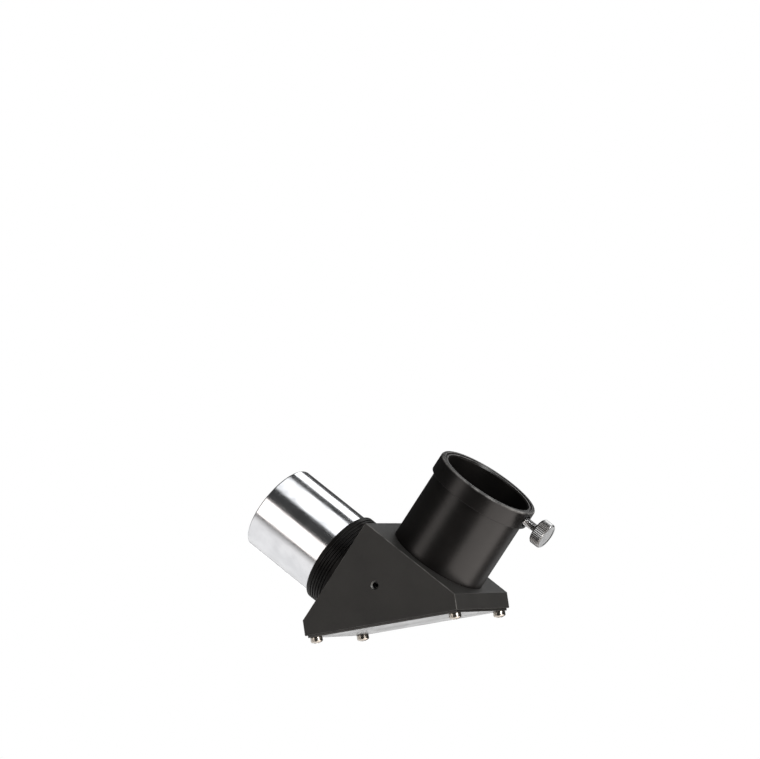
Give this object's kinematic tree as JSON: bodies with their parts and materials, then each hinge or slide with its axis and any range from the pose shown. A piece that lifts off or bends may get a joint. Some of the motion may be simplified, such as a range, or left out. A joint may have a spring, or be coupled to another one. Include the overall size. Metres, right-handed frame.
{
  "type": "star diagonal",
  "caption": "Right-angle prism star diagonal with a three-sided housing, a plain nose barrel and an eyepiece socket clamped by a knurled thumbscrew.",
  "frame": {"origin": "on the nose's axis, at the shoulder of the nose collar where the barrel starts; the telescope's visual back seats there", "axes": "the nose barrel points along -X into the telescope, the eyepiece socket opens along +Z, and Y runs across the housing, which is the same on both sides"},
  "size_m": [0.0881, 0.043, 0.0802],
  "materials": {
    "housing_paint": "satin black paint with a fine texture",
    "cover_paint": "satin black paint on sheet",
    "black_anodise": "satin black anodised",
    "nose_black": "satin black anodised, ribbed",
    "barrel_chrome": "polished chrome plate",
    "screw_nickel": "nickel plated",
    "baffle_black": "flat black",
    "prism_glass": "polished optical glass",
    "spring_steel": "blued spring steel",
    "cork": "cork sheet",
    "grub_steel": "black oxide",
    "nylon": "natural nylon"
  },
  "bodies": {
    "diagonal": {"housing": "housing_paint", "cover_plate": "cover_paint", "cover_screw_1": "screw_nickel", "cover_screw_2": "screw_nickel", "cover_screw_3": "screw_nickel", "cover_screw_4": "screw_nickel", "nose_barrel": "barrel_chrome", "nose_collar": "nose_black", "entrance_baffle": "baffle_black", "eyepiece_holder": "black_anodise", "clamp_collar": "black_anodise", "exit_baffle": "baffle_black", "prism": "prism_glass", "prism_spring": "spring_steel", "side_pad_1": "cork", "side_pad_2": "cork", "side_set_screw_1": "grub_steel", "side_set_screw_2": "grub_steel"},
    "tip": {"clamp_tip": "nylon"},
    "screw": {"thumbscrew": "screw_nickel"}
  },
  "joints": [
    {"name": "thumbscrew_travel", "type": "slide", "parent": "diagonal", "child": "tip", "axis": [0.9986, 0.0523, 0], "range_m": [-0.0042, 0.0014]},
    {"name": "thumbscrew_turn", "type": "hinge", "parent": "tip", "child": "screw", "pos_m": [0.031, 0, 0.05065], "axis": [0.9986, 0.0523, 0], "range_deg": [-3027, 1010]}
  ],
  "couplings": [
    {"joint": "thumbscrew_turn", "follows": "thumbscrew_travel", "rad_per_m": 12566}
  ]
}
